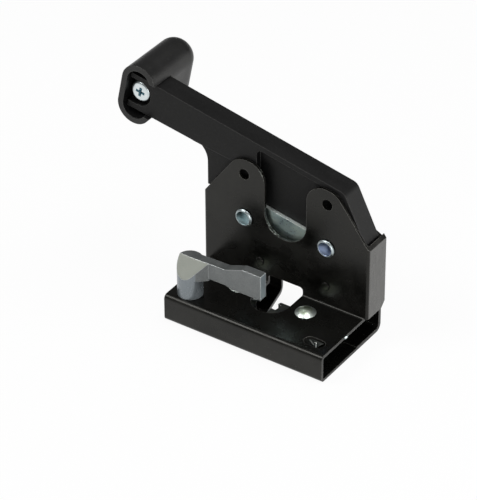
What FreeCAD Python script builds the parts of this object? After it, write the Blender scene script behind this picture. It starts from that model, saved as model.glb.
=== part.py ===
import FreeCAD, Part
import math
import os
import re
import Sketcher

# Internal door latch: a folded steel box with a rotary claw and a pawl inside, a cast release arm
# on its spindle, and a moulded handle lever with a hollow grip between the two upright plates.
# Millimetres, +Z up. Origin: on the underside, on the mouth's centre line, level with the spindle.

# Driving dimensions
SIZES = {
    # folded sheets
    "sheet": 1.5, "back_sheet": 2.0, "bend_inside": 1.0, "bend_outside": 2.5, "under_bend": 1.2,
    "side_bend": 1.7, "over": 1.0,
    "back_bend": 4.0, "box_length": 95.0, "box_height": 15.8, "front_reach": 9.0, "upright_at": 30.0,
    "back_at": 46.2, "butt_at": 23.8, "butt_gap": 0.1, "wall_overlap": 0.2, "wall_gap": 0.5, "shoulder": 57.0,
    "wall_chamfer": 3.0, "stub": 3.0,
    # ears and the valley between them
    "ear_top": 84.6, "ear_reach": 4.6, "ear_round": 10.4, "valley_half": 12.5, "valley_low": 57.8,
    "ear_hole": 3.0, "ear_hole_x": 24.7, "ear_hole_z": 76.0, "back_rise": 10.0, "back_run": 19.0,
    "dimple_left": 15.1, "dimple_right": 24.5, "dimple_z": 26.8, "dimple_radius": 2.4,
    "dimple_rise": 0.7,
    # mouth
    "mouth_half": 10.5, "mouth_shift": 0.4, "mouth_seat": 17.2, "notch_top": 20.2, "notch_corner": 2.0,
    "slot_left": 6.0, "slot_right": 10.0, "slot_seat": 21.5, "slot_flare": 5.9,
    # lever pivot and stop, on the upright plates
    "rivet_x": 24.6, "rivet_z": 50.2, "rivet_shank": 3.0, "rivet_head": 5.0, "rivet_rise": 1.6,
    "rivet_dish": 3.2, "dish_depth": 0.8, "rivet_tail": 4.4, "tail_rise": 1.4, "bush_outer": 5.0,
    "bush_bore": 3.05, "bush_end_gap": 0.05, "running": 0.05, "dish_slope": 1.0, "head_slope": 0.9,
    "head_edge": 0.4, "washer_width": 3.5,
    # lever moulding
    "lever_gap": 0.3, "lever_left": 47.2, "lever_right": 46.6, "lever_bottom": 40.0,
    "gusset_left": 49.3, "gusset_depth": 1.8, "gusset_step": 2.4,
    "arm_top": 91.8, "arm_slope": 0.205, "arm_under": 82.4, "under_slope": 0.155,
    "arm_end_x": 94.2, "arm_end_lean": 3.2, "arm_end_height": 20.4, "corner_x": 33.4,
    "corner_round": 5.0, "neck_round": 11.0,
    "flank_top": 57.8, "rim": 3.0, "web_depth": 3.4, "pocket_floor": 3.8, "recess_left": 18.4,
    "bay_left": 43.6, "stop_clear": 0.6, "stop_travel": 14.0, "stop_shift": 0.24,
    "heel_high": 6.0, "heel_start": 29.7, "toe_high": 4.0, "gusset_run": 12.0, "gusset_in": 2.0,
    "recess_back": 2.0, "flank_wall": 3.6, "web_step": 11.0, "channel_skew": 1.4,
    "channel_run": 10.0, "channel_low": 1.8, "channel_high": 2.4, "coil_room": 1.4,
    "relief_room": 1.2, "leg_run": 19.0, "leg_low": 3.0, "leg_high": 11.0, "pilot_over": 1.5,
    # cam plate
    "cam_sheet": 2.0, "cam_top": 55.6, "cam_slope": 0.2016, "cam_left": 41.0, "cam_bottom": 42.5,
    "cam_boss": 9.6, "finger_left": 31.7, "finger_width": 6.5, "finger_tip": 9.5, "cam_step": 4.0,
    "stop_margin": 0.2, "finger_root": 5.5, "finger_neck": 9.5, "finger_shoulder": 13.5,
    "cam_cut_x": 3.0, "cam_cut_z": 6.5,
    "screw_shank": 1.5, "screw_head": 3.2, "screw_rise": 1.1, "screw_length": 7.0, "screw_slope": 0.7,
    "screw_left_x": 36.5, "screw_left_z": 56.0, "screw_right_x": 14.6, "screw_right_z": 46.2,
    # grip
    "grip_x": 90.2, "grip_z": 100.1, "grip_tilt": 11.6, "grip_front": 29.5, "grip_length": 40.0,
    "grip_half": 10.1, "grip_tall": 17.5, "grip_wall": 3.1, "grip_dome": 8.0, "grip_floor": 5.0,
    "boss_radius": 6.4, "fit_gap": 0.3, "pocket_radius": 7.2, "pan_head": 6.0, "pan_rise": 2.6,
    "m6_radius": 3.0, "m6_length": 22.0, "insert_radius": 4.2, "insert_length": 9.0,
    "insert_room": 0.5, "bore_gap": 0.2, "bore_room": 4.3, "recess_deep": 1.3, "recess_floor": 0.9,
    "recess_top": 1.2, "pan_flat": 2.0, "pan_slope": 0.6, "pan_drop": 0.9, "pan_edge": 0.5,
    # release arm and its crank
    "spindle_x": 37.5, "post_radius": 6.7, "spindle_radius": 4.4, "journal_radius": 3.4,
    "journal_end": 0.3, "post_gap": 0.2, "blade_front": 0.8, "blade_thick": 4.9, "blade_under": 28.4,
    "blade_top": 37.4, "blade_tip": 4.7, "blade_tip_under": 27.4, "blade_tip_top": 41.6,
    "step_start": 16.6, "step_end": 6.4, "crank_low": 4.0, "crank_sheet": 3.0, "crank_hub": 6.2,
    "tab_sheet": 2.5, "tab_x": 32.0, "tab_front": 32.2, "tab_back": 38.0, "tab_top": 26.0,
    "clip_outer": 6.0, "clip_sheet": 1.0, "step_run": 4.0, "step_rise": 0.4, "web_drop": 1.5,
    "web_reach": 4.0, "web_back": 2.0, "facet_drop": 4.0, "tail_left": 5.2, "tail_right": 3.4,
    "tail_corner": 4.0, "tail_inset": 3.0, "tail_cut": 8.0, "lobe_start": 2.0, "lobe_width": 3.0,
    "lobe_waist": 7.0, "lobe_root": 5.0,
    # claw and pawl
    "pivot_x": 20.0, "pivot_y": 18.6, "works_floor": 2.8, "claw_thick": 6.0, "pawl_thick": 5.0,
    "claw_radius": 21.5, "claw_hub": 13.0, "claw_open": 60.0, "tooth_radius": 19.0, "notch_from": 223.0,
    "notch_to": 236.6, "pawl_tail_tip": 3.5, "pawl_tail_root": 5.5, "pawl_tail_mid": 8.0,
    "claw_bush": 6.0, "pawl_bush": 5.0, "pawl_hub": 8.5, "pin_radius": 4.0, "dome_radius": 5.5,
    "dome_rise": 2.0, "pawl_lift": 4.4, "lobe_reach": 11.2,
    "tail_reach": 14.9, "works_gap": 0.3,
    # springs
    "wire": 1.2, "coil_pitch": 1.02, "coil_depth": 5.4, "claw_coil": 7.0, "pawl_coil": 6.0,
    "lever_coil": 6.1, "anchor_x": 37.5, "anchor_y": 0.0, "anchor_half": 3.25, "anchor_reach": 5.8,
    "anchor_past": 1.0, "hook_rise": 1.2, "claw_leg": 16.0, "pawl_leg": 10.0, "pawl_leg_end": 12.0,
    "pawl_leg_turn": 150.0, "lever_leg": 6.0, "lever_leg_end": 12.0, "lever_leg_turn": 180.0,
    "claw_part_turn": 0.25, "pawl_part_turn": 0.4, "lever_turns": 2.5, "lever_spring_in": 4.6,
}

doc = FreeCAD.newDocument("latch")
dims = doc.addObject("Spreadsheet::Sheet", "dims")
for row, (alias, value) in enumerate(SIZES.items(), start=1):
    dims.set("A%d" % row, alias)
    dims.set("B%d" % row, str(value))
    dims.setAlias("B%d" % row, alias)
doc.recompute()


def size(alias):
    """The value that the sheet holds under this alias."""
    return float(dims.get(alias))


def link(text):
    """A FreeCAD expression from plain text: each alias is read from the sheet."""
    return re.sub(r"[a-z_0-9]*[a-z_][a-z_0-9]*",
                  lambda word: "dims." + word.group(0) if word.group(0) in SIZES else word.group(0),
                  str(text))


# Helpers for bodies, sketches and features
def new_body(label):
    body = doc.addObject("PartDesign::Body", label)
    body.Label = label
    return body


def new_sketch(body, plane, name, offset="0"):
    sketch = body.newObject("Sketcher::SketchObject", body.Label + "_" + name)
    support = [item for item in body.Origin.OriginFeatures if item.Role == plane + "_Plane"][0]
    sketch.AttachmentSupport = [(support, "")]
    sketch.MapMode = "FlatFace"
    sketch.setExpression("AttachmentOffset.Base.z", link(offset))
    return sketch


def pin_down(sketch, kind, geometry, point, text):
    """Tie one coordinate, or one radius, to the sheet."""
    start = 1.0 + geometry
    if kind == "Radius":
        index = sketch.addConstraint(Sketcher.Constraint(kind, geometry, start))
    else:
        index = sketch.addConstraint(Sketcher.Constraint(kind, geometry, point, start))
    sketch.setExpression("Constraints[%d]" % index, link(text))


def add_polygon(sketch, corners):
    first = sketch.GeometryCount
    count = len(corners)
    circle = [FreeCAD.Vector(0, 1, 0) for _ in corners]
    turn = FreeCAD.Rotation(FreeCAD.Vector(0, 0, 1), 360.0 / count)
    for i in range(1, count):
        circle[i] = turn.multVec(circle[i - 1])
    for i in range(count):
        sketch.addGeometry(Part.LineSegment(circle[i], circle[(i + 1) % count]), False)
    for i in range(count):
        sketch.addConstraint(Sketcher.Constraint("Coincident", first + i, 2, first + (i + 1) % count, 1))
    for i, (across, along) in enumerate(corners):
        pin_down(sketch, "DistanceX", first + i, 1, across)
        pin_down(sketch, "DistanceY", first + i, 1, along)


def add_circle(sketch, across, along, radius):
    index = sketch.addGeometry(Part.Circle(FreeCAD.Vector(0, 0, 0), FreeCAD.Vector(0, 0, 1), 1.0), False)
    pin_down(sketch, "Radius", index, 0, radius)
    pin_down(sketch, "DistanceX", index, 3, across)
    pin_down(sketch, "DistanceY", index, 3, along)


def pad(body, sketch, length, middle=False):
    feature = body.newObject("PartDesign::Pad", sketch.Name + "_pad")
    feature.Profile = sketch
    feature.setExpression("Length", link(length))
    feature.Midplane = middle
    doc.recompute()
    if feature.Shape.isNull() or not feature.isValid():
        raise RuntimeError(feature.Name + " fails")
    return feature


def pocket(body, sketch, length=None, along=False):
    """Cut a length off the sketch's plane, against its normal or along it, or right through."""
    before = body.Shape.copy()
    feature = body.newObject("PartDesign::Pocket", sketch.Name + "_cut")
    feature.Profile = sketch
    if length is None:
        feature.Type = "ThroughAll"
        feature.Midplane = True
    else:
        feature.setExpression("Length", link(length))
    normal = sketch.Placement.Rotation.multVec(FreeCAD.Vector(0, 0, 1))
    for turned_round in (True, False):
        feature.Reversed = turned_round
        doc.recompute()
        if body.Tip.Shape.isNull():
            continue
        gone = before.cut(body.Tip.Shape)
        if gone.Volume < 1e-6:
            continue
        side = (gone.CenterOfGravity - sketch.Placement.Base).dot(normal)
        if length is None or (side > 0) == along:
            return feature
    raise RuntimeError(feature.Name + " cuts nothing")


def round_edges(body, name, radius, test):
    """Fillet every edge whose middle and direction pass the test."""
    base, names = body.Tip, []
    for number, edge in enumerate(base.Shape.Edges, start=1):
        middle = edge.valueAt((edge.FirstParameter + edge.LastParameter) / 2)
        way = edge.tangentAt((edge.FirstParameter + edge.LastParameter) / 2)
        if test(middle, way, edge):
            names.append("Edge%d" % number)
    if not names:
        raise RuntimeError(body.Label + "_" + name + " finds no edge")
    feature = body.newObject("PartDesign::Fillet", body.Label + "_" + name)
    feature.Base = (base, names)
    feature.setExpression("Radius", link(radius))
    doc.recompute()
    if feature.Shape.isNull() or not feature.isValid():
        raise RuntimeError(feature.Name + " fails")
    return feature


def near(value, *targets):
    return any(abs(value - target) < 0.02 for target in targets)


def turned(label, profile, place, along_y=False):
    """A turned piece: its half profile (radius, height) goes once round the local Z axis."""
    body = new_body(label)
    sketch = new_sketch(body, "XZ", "profile")
    add_polygon(sketch, profile)
    feature = body.newObject("PartDesign::Revolution", label + "_turn")
    feature.Profile = sketch
    feature.ReferenceAxis = (sketch, ["V_Axis"])
    feature.Angle = 360.0
    if along_y:
        body.Placement.Rotation = FreeCAD.Rotation(FreeCAD.Vector(1, 0, 0), -90)
    for axis, text in zip("xyz", place):
        body.setExpression("Placement.Base." + axis, link(text))
    doc.recompute()
    return body


# Folded sheets
def make_front_case():
    body = new_body("front_case")
    wide = "(box_length / 2 + sheet + wall_gap)"
    slant_end = "(ear_hole_x + ear_reach)"
    fold = new_sketch(body, "YZ", "fold")
    add_polygon(fold, [
        ("butt_at - butt_gap", "0"), ("-front_reach", "0"), ("-front_reach", "box_height"),
        ("upright_at", "box_height"), ("upright_at", "box_height + stub"),
        ("upright_at + sheet", "box_height + stub"), ("upright_at + sheet", "box_height - sheet"),
        ("sheet - front_reach", "box_height - sheet"), ("sheet - front_reach", "sheet"),
        ("butt_at - butt_gap", "sheet")])
    pad(body, fold, "box_length", middle=True)
    shell = new_sketch(body, "XY", "shell", "box_height - wall_overlap")
    add_polygon(shell, [
        ("-" + wide, "upright_at"), (wide, "upright_at"), (wide, "back_at"),
        (wide + " - sheet", "back_at"), (wide + " - sheet", "upright_at + sheet"),
        ("sheet - " + wide, "upright_at + sheet"), ("sheet - " + wide, "back_at"),
        ("-" + wide, "back_at")])
    pad(body, shell, "ear_top - box_height + wall_overlap")
    edge_x = size("box_length") / 2 + size("sheet") + size("wall_gap")
    up, front = size("upright_at"), -size("front_reach")
    sheet, high = size("sheet"), size("box_height")
    round_edges(body, "outer_bends", "bend_outside", lambda at, way, edge:
                abs(way.x) > 0.99 and near(at.y, front) and near(at.z, 0, high))
    round_edges(body, "side_bends", "side_bend", lambda at, way, edge:
                abs(way.z) > 0.99 and near(abs(at.x), edge_x) and near(at.y, up))
    round_edges(body, "inner_bends", "bend_inside", lambda at, way, edge:
                (abs(way.x) > 0.99 and near(at.y, front + sheet) and near(at.z, sheet, high - sheet))
                or (abs(way.x) > 0.99 and near(at.y, up) and near(at.z, high))
                or (abs(way.z) > 0.99 and near(abs(at.x), edge_x - sheet) and near(at.y, up + sheet)))
    round_edges(body, "under_bend", "under_bend", lambda at, way, edge:
                abs(way.x) > 0.99 and near(at.y, up + sheet) and near(at.z, high - sheet))
    corners = new_sketch(body, "YZ", "wall_corners", "box_length")
    add_polygon(corners, [
        ("back_at + over", "box_height - wall_overlap - over"),
        ("back_at + over", "box_height - wall_overlap + wall_chamfer + over"),
        ("back_at - wall_chamfer - over", "box_height - wall_overlap - over")])
    pocket(body, corners)
    ears = new_sketch(body, "XZ", "ears")
    add_polygon(ears, [
        ("-over - " + wide, "shoulder"), ("-" + wide, "shoulder"), ("-" + slant_end, "ear_top"),
        ("-valley_half", "ear_top"), ("-valley_half", "valley_low - valley_half"),
        ("valley_half", "valley_low - valley_half"), ("valley_half", "ear_top"),
        (slant_end, "ear_top"), (wide, "shoulder"), ("over + " + wide, "shoulder"),
        ("over + " + wide, "ear_top + over"), ("-over - " + wide, "ear_top + over")])
    pocket(body, ears)
    round_edges(body, "ear_rounds", "ear_round", lambda at, way, edge: abs(way.y) > 0.99
                and near(at.z, size("ear_top"))
                and near(abs(at.x), size("ear_hole_x") + size("ear_reach"), size("valley_half")))
    round_edges(body, "valley_rounds", "valley_half - 0.05", lambda at, way, edge: abs(way.y) > 0.99
                and near(at.z, size("valley_low") - size("valley_half"))
                and near(abs(at.x), size("valley_half")))
    # mouth: a wide round-ended slot through the top and up into the upright plate
    mouth = new_sketch(body, "XY", "mouth", "notch_top")
    add_polygon(mouth, [
        ("mouth_shift - mouth_half", "mouth_seat - mouth_half"),
        ("mouth_shift + mouth_half", "mouth_seat - mouth_half"),
        ("mouth_shift + mouth_half", "upright_at + sheet + over"),
        ("mouth_shift - mouth_half", "upright_at + sheet + over")])
    pocket(body, mouth, "notch_top - box_height / 2")
    round_edges(body, "mouth_rounds", "mouth_half - 0.05", lambda at, way, edge: abs(way.z) > 0.99
                and near(at.y, size("mouth_seat") - size("mouth_half"))
                and near(abs(at.x - size("mouth_shift")), size("mouth_half")))
    round_edges(body, "notch_corners", "notch_corner", lambda at, way, edge: abs(way.y) > 0.99
                and near(at.z, size("notch_top"))
                and near(abs(at.x - size("mouth_shift")), size("mouth_half")))
    low_slot = new_sketch(body, "XY", "low_slot", "box_height / 2")
    add_polygon(low_slot, [
        ("-slot_left", "slot_seat - (slot_right + slot_left) / 2"),
        ("slot_right", "slot_seat - (slot_right + slot_left) / 2"), ("slot_right", "butt_at + over"),
        ("-slot_left", "butt_at + over")])
    pocket(body, low_slot, "box_height")
    low_front = size("slot_seat") - (size("slot_right") + size("slot_left")) / 2
    round_edges(body, "low_rounds", "(slot_right + slot_left) / 2 - 0.05", lambda at, way, edge:
                abs(way.z) > 0.99 and near(at.y, low_front)
                and near(at.x, size("slot_right"), -size("slot_left")))
    for side, across in (("left", "-dimple_left"), ("right", "dimple_right")):
        dimple = new_sketch(body, "XZ", side + "_dimple", "-upright_at")
        add_circle(dimple, across, "dimple_z", "dimple_radius")
        pad(body, dimple, "dimple_rise")
    round_edges(body, "dimple_rounds", "dimple_rise * 0.9", lambda at, way, edge: abs(way.y) < 0.01
                and near(at.y, up - size("dimple_rise")))
    # holes
    uprights = new_sketch(body, "XZ", "upright_holes")
    for side in ("", "-"):
        add_circle(uprights, side + "ear_hole_x", "ear_hole_z", "ear_hole")
        add_circle(uprights, side + "rivet_x", "rivet_z", "rivet_shank")
    pocket(body, uprights)
    pivots = new_sketch(body, "XY", "pivot_holes")
    for side in ("", "-"):
        add_circle(pivots, side + "pivot_x", "pivot_y", "pin_radius")
    pocket(body, pivots)
    spindle = new_sketch(body, "XY", "spindle_hole", "box_height + over")
    add_circle(spindle, "-spindle_x", "0", "spindle_radius + running")
    pocket(body, spindle, "box_height / 2")
    journal = new_sketch(body, "XY", "journal_hole", "box_height / 2")
    add_circle(journal, "-spindle_x", "0", "journal_radius + running")
    pocket(body, journal, "box_height")
    anchor = new_sketch(body, "XY", "anchor_hole", "box_height + over")
    add_polygon(anchor, [
        ("anchor_x - anchor_reach", "anchor_y - anchor_half"),
        ("anchor_x + anchor_reach", "anchor_y - anchor_half"),
        ("anchor_x + anchor_reach", "anchor_y + anchor_half"),
        ("anchor_x - anchor_reach", "anchor_y + anchor_half")])
    pocket(body, anchor, "box_height / 2")
    round_edges(body, "anchor_ends", "anchor_half - 0.05", lambda at, way, edge: abs(way.z) > 0.99
                and near(abs(at.x - size("anchor_x")), size("anchor_reach"))
                and near(abs(at.y - size("anchor_y")), size("anchor_half")))
    return body


def make_back_case():
    body = new_body("back_case")
    wide = "(box_length / 2 + wall_gap)"
    fold = new_sketch(body, "YZ", "fold")
    add_polygon(fold, [
        ("butt_at", "0"), ("back_at", "0"), ("back_at", "shoulder + back_rise"),
        ("back_at - back_sheet", "shoulder + back_rise"), ("back_at - back_sheet", "back_sheet"),
        ("butt_at", "back_sheet")])
    pad(body, fold, "2 * " + wide, middle=True)
    top = new_sketch(body, "XZ", "top")
    add_polygon(top, [
        ("-over - " + wide, "shoulder"), ("-" + wide, "shoulder"),
        ("back_run - " + wide, "shoulder + back_rise"), (wide + " - back_run", "shoulder + back_rise"),
        (wide, "shoulder"), ("over + " + wide, "shoulder"),
        ("over + " + wide, "shoulder + back_rise + over"),
        ("-over - " + wide, "shoulder + back_rise + over")])
    pocket(body, top)
    back = size("back_at")
    round_edges(body, "outer_bend", "back_bend", lambda at, way, edge:
                abs(way.x) > 0.99 and near(at.y, back) and near(at.z, 0))
    round_edges(body, "inner_bend", "back_bend - back_sheet", lambda at, way, edge:
                abs(way.x) > 0.99 and near(at.y, back - size("back_sheet"))
                and near(at.z, size("back_sheet")))
    ends = new_sketch(body, "XY", "ends", "-over")
    for side in ("", "-"):
        inner = side + "(box_length / 2)"
        outer = side + "(box_length / 2 + wall_gap + over)"
        add_polygon(ends, [(inner, "butt_at - over"), (outer, "butt_at - over"),
                           (outer, "back_at + over"), (inner, "back_at + over")])
    pocket(body, ends, "box_height - wall_overlap + over", along=True)
    mouth = new_sketch(body, "XY", "mouth", "-over")
    add_polygon(mouth, [
        ("-slot_left", "slot_seat"), ("slot_right", "slot_seat"), ("slot_right", "back_at + over"),
        ("-slot_left - slot_flare", "back_at + over")])
    pocket(body, mouth, "notch_top + over", along=True)
    rivets = new_sketch(body, "XZ", "rivet_holes")
    for side in ("", "-"):
        add_circle(rivets, side + "rivet_x", "rivet_z", "rivet_shank")
    pocket(body, rivets)
    return body


# Rivets, bushes and screws
def make_upright_rivet(label, across):
    return turned(label, [
        ("0", "-rivet_rise + dish_depth"), ("rivet_dish - dish_slope", "-rivet_rise + dish_depth"),
        ("rivet_dish", "-rivet_rise"), ("rivet_head - head_slope", "-rivet_rise"),
        ("rivet_head", "-head_edge"), ("rivet_head", "0"), ("rivet_shank", "0"),
        ("rivet_shank", "back_at - upright_at"), ("rivet_tail", "back_at - upright_at"),
        ("rivet_tail - dish_slope", "back_at - upright_at + tail_rise"),
        ("0", "back_at - upright_at + tail_rise"),
    ], (across, "upright_at", "rivet_z"), along_y=True)


def make_upright_bush(label, across):
    length = "back_at - back_sheet - upright_at - sheet"
    return turned(label, [
        ("bush_bore", "bush_end_gap"), ("bush_outer", "bush_end_gap"),
        ("bush_outer", length + " - bush_end_gap"), ("bush_bore", length + " - bush_end_gap")],
        (across, "upright_at + sheet", "rivet_z"), along_y=True)


# Outline of a domed head, as shares of its radius and of its rise
DOME = ((0.945, 0.35), (0.764, 0.7), (0.455, 0.925))


def make_pivot_rivet(label, across):
    dome = [("%s * dome_radius" % out, "box_height + %s * dome_rise" % up) for out, up in DOME]
    return turned(label, [
        ("0", "0"), ("pin_radius", "0"), ("pin_radius", "box_height"), ("dome_radius", "box_height")]
        + dome + [("0", "box_height + dome_rise")], (across, "pivot_y", "0"))


def make_pivot_bush(label, across, radius):
    return turned(label, [
        ("pin_radius + running", "back_sheet"), (radius, "back_sheet"),
        (radius, "box_height - sheet"), ("pin_radius + running", "box_height - sheet")], (across, "pivot_y", "0"))


def make_washer(label, across, radius):
    return turned(label, [
        (radius + " + running", "back_sheet"), (radius + " + washer_width", "back_sheet"),
        (radius + " + washer_width", "works_floor"), (radius + " + running", "works_floor")],
        (across, "pivot_y", "0"))


# Lever with its cam plate and grip
LEVER_FRONT = "(upright_at + sheet + lever_gap)"
LEVER_BACK = "(back_at - back_sheet - lever_gap)"
SCREW_PLACES = (("-screw_left_x", "screw_left_z"), ("screw_right_x", "screw_right_z"))


def arm_top_at(across):
    return "(arm_top - arm_slope * (" + across + "))"


def make_lever():
    body = new_body("lever")
    outline = new_sketch(body, "XZ", "outline", "-" + LEVER_BACK)
    add_polygon(outline, [
        ("-arm_end_x", arm_top_at("-arm_end_x")),
        ("-arm_end_x - arm_end_lean", arm_top_at("-arm_end_x") + " - arm_end_height"),
        ("-gusset_left", "arm_under"), ("-gusset_left", "shoulder + gusset_step"),
        ("-lever_left", "shoulder + gusset_step"),
        ("-lever_left", "lever_bottom + heel_high"), ("-heel_start", "lever_bottom"),
        ("lever_right - heel_high", "lever_bottom"), ("lever_right", "lever_bottom + toe_high"),
        ("lever_right", "flank_top"), ("corner_x", arm_top_at("corner_x"))])
    pad(body, outline, LEVER_BACK + " - " + LEVER_FRONT)
    round_edges(body, "corner", "corner_round", lambda at, way, edge: abs(way.y) > 0.99
                and near(at.x, size("corner_x")))
    round_edges(body, "neck", "neck_round", lambda at, way, edge: abs(way.y) > 0.99
                and near(at.x, -size("gusset_left")) and near(at.z, size("arm_under")))
    # the arm stands proud of the gusset under it
    gusset = new_sketch(body, "XZ", "gusset", "-" + LEVER_FRONT)
    add_polygon(gusset, [
        ("-gusset_left - gusset_run", "arm_under + gusset_run * under_slope"),
        ("gusset_in - recess_left", "arm_under - (gusset_left - recess_left + gusset_in) * under_slope"),
        ("gusset_in - recess_left", "lever_bottom - over"),
        ("-gusset_left - gusset_run", "lever_bottom - over")])
    pocket(body, gusset, "gusset_depth")
    # recess for the web, and the lower bay that takes the cam plate
    recess = new_sketch(body, "XZ", "recess", "-" + LEVER_FRONT)
    add_polygon(recess, [
        ("-recess_left", arm_top_at("-recess_left") + " - rim"),
        ("corner_x - recess_back", arm_top_at("corner_x - recess_back") + " - rim"),
        ("lever_right - flank_wall", "flank_top + over"),
        ("lever_right - flank_wall", "lever_bottom - over"),
        ("-bay_left", "lever_bottom - over"), ("-bay_left", "cam_top + web_step"),
        ("-recess_left", "cam_top + web_step")])
    pocket(body, recess, "web_depth")
    round_edges(body, "recess_corners", "rim", lambda at, way, edge: abs(way.y) > 0.99
                and near(at.x, -size("recess_left"))
                and at.z > size("cam_top") + size("web_step") + size("over"))
    # seat of the grip screw: a round-ended pocket, open towards the end
    seat = new_sketch(body, "XZ", "screw_seat", "-" + LEVER_FRONT)
    add_circle(seat, "-grip_x", "grip_z", "pocket_radius")
    pocket(body, seat, "pocket_floor")
    channel = new_sketch(body, "XZ", "channel", "-" + LEVER_FRONT)
    add_polygon(channel, [
        ("-grip_x + channel_skew", "grip_z + pocket_radius"),
        ("-grip_x - channel_skew", "grip_z - pocket_radius"),
        ("-grip_x - channel_run", "grip_z - pocket_radius + channel_low"),
        ("-grip_x - channel_run", "grip_z + pocket_radius + channel_high")])
    pocket(body, channel, "pocket_floor")
    holes = new_sketch(body, "XZ", "holes")
    add_circle(holes, "rivet_x", "rivet_z", "bush_outer + running")
    add_circle(holes, "-grip_x", "grip_z", "m6_radius + fit_gap")
    pocket(body, holes)
    add_stop_slot(body)
    # pocket for the return spring, on the back
    coil = new_sketch(body, "XZ", "coil", "-" + LEVER_BACK)
    add_circle(coil, "rivet_x", "rivet_z", "lever_coil + wire + coil_room")
    pocket(body, coil, "coil_depth", along=True)
    leg = new_sketch(body, "XZ", "leg", "-" + LEVER_BACK)
    add_polygon(leg, [("rivet_x - leg_run", "rivet_z + leg_low"), ("rivet_x", "rivet_z + leg_low"),
                      ("rivet_x", "rivet_z + leg_high"), ("rivet_x - leg_run", "rivet_z + leg_high")])
    pocket(body, leg, "coil_depth", along=True)
    relief = new_sketch(body, "XZ", "relief", "-" + LEVER_BACK)
    add_polygon(relief, [
        ("rivet_x - lever_coil - wire - relief_room", "lever_bottom - over"),
        ("rivet_x + lever_coil + wire + relief_room", "lever_bottom - over"),
        ("rivet_x + lever_coil + wire + relief_room", "rivet_z"),
        ("rivet_x - lever_coil - wire - relief_room", "rivet_z")])
    pocket(body, relief, "coil_depth", along=True)
    pilots = new_sketch(body, "XZ", "pilots", "-" + LEVER_FRONT)
    for across, up in SCREW_PLACES:
        add_circle(pilots, across, up, "screw_shank + running")
    pocket(body, pilots, "screw_length + pilot_over")
    return body


def add_stop_slot(body):
    """The slot that lets the lever swing past the stop bush."""
    middle = new_sketch(body, "XZ", "stop_slot")
    half = "(bush_outer + stop_clear)"
    add_polygon(middle, [
        ("stop_shift - rivet_x - " + half, "rivet_z - stop_travel"),
        ("stop_shift - rivet_x + " + half, "rivet_z - stop_travel"),
        ("stop_shift - rivet_x + " + half, "rivet_z + " + half),
        ("stop_shift - rivet_x - " + half, "rivet_z + " + half)])
    pocket(body, middle)
    reach = size("bush_outer") + size("stop_clear")
    round_edges(body, "stop_rounds", half + " - 0.05", lambda at, way, edge: abs(way.y) > 0.99
                and near(abs(at.x + size("rivet_x") - size("stop_shift")), reach)
                and near(at.z, size("rivet_z") + reach))


def cam_top_at(across):
    return "(cam_top - cam_slope * (" + across + "))"


def make_cam_plate():
    body = new_body("cam_plate")
    back = "(" + LEVER_FRONT + " + web_depth)"
    outline = new_sketch(body, "XZ", "outline", "-" + back)
    add_polygon(outline, [
        ("-cam_left", "cam_bottom + cam_step"), ("-cam_left", cam_top_at("-cam_left")),
        ("rivet_x", cam_top_at("rivet_x")), ("rivet_x", "cam_bottom"),
        ("-rivet_x - bush_outer - stop_clear - stop_margin", "cam_bottom"),
        ("-rivet_x - bush_outer - stop_clear - stop_margin", "cam_bottom - finger_root"),
        ("finger_width - finger_left", "cam_bottom - finger_neck"),
        ("finger_width - finger_left", "finger_tip"), ("-finger_left", "finger_tip"),
        ("-finger_left", "cam_bottom - finger_shoulder"),
        ("cam_cut_x - cam_left", "cam_bottom - cam_cut_z")])
    pad(body, outline, "cam_sheet")
    boss = new_sketch(body, "XZ", "boss", "-" + back)
    add_circle(boss, "rivet_x", "rivet_z", "cam_boss")
    pad(body, boss, "cam_sheet")
    holes = new_sketch(body, "XZ", "holes")
    add_circle(holes, "rivet_x", "rivet_z", "bush_outer + running")
    for across, up in SCREW_PLACES:
        add_circle(holes, across, up, "screw_shank")
    pocket(body, holes)
    add_stop_slot(body)
    return body


def make_plate_screws():
    """Two pan-head screws that hold the cam plate to the moulding, as one group."""
    face = size("upright_at") + size("sheet") + size("lever_gap") + size("web_depth")
    face = face - size("cam_sheet")
    solids = []
    for across, up in ((-size("screw_left_x"), size("screw_left_z")),
                       (size("screw_right_x"), size("screw_right_z"))):
        start = FreeCAD.Vector(across, face, up)
        inward = FreeCAD.Vector(0, 1, 0)
        shank = Part.makeCylinder(size("screw_shank"), size("screw_length"), start, inward)
        head = Part.makeCone(size("screw_head"), size("screw_head") - size("screw_slope"),
                             size("screw_rise"), start, FreeCAD.Vector(0, -1, 0))
        solids.append(shank.fuse(head).removeSplitter())
    group = doc.addObject("Part::Feature", "plate_screws")
    group.Label = "plate_screws"
    group.Shape = Part.makeCompound(solids)
    group.Placement = FreeCAD.Placement()
    return group


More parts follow.
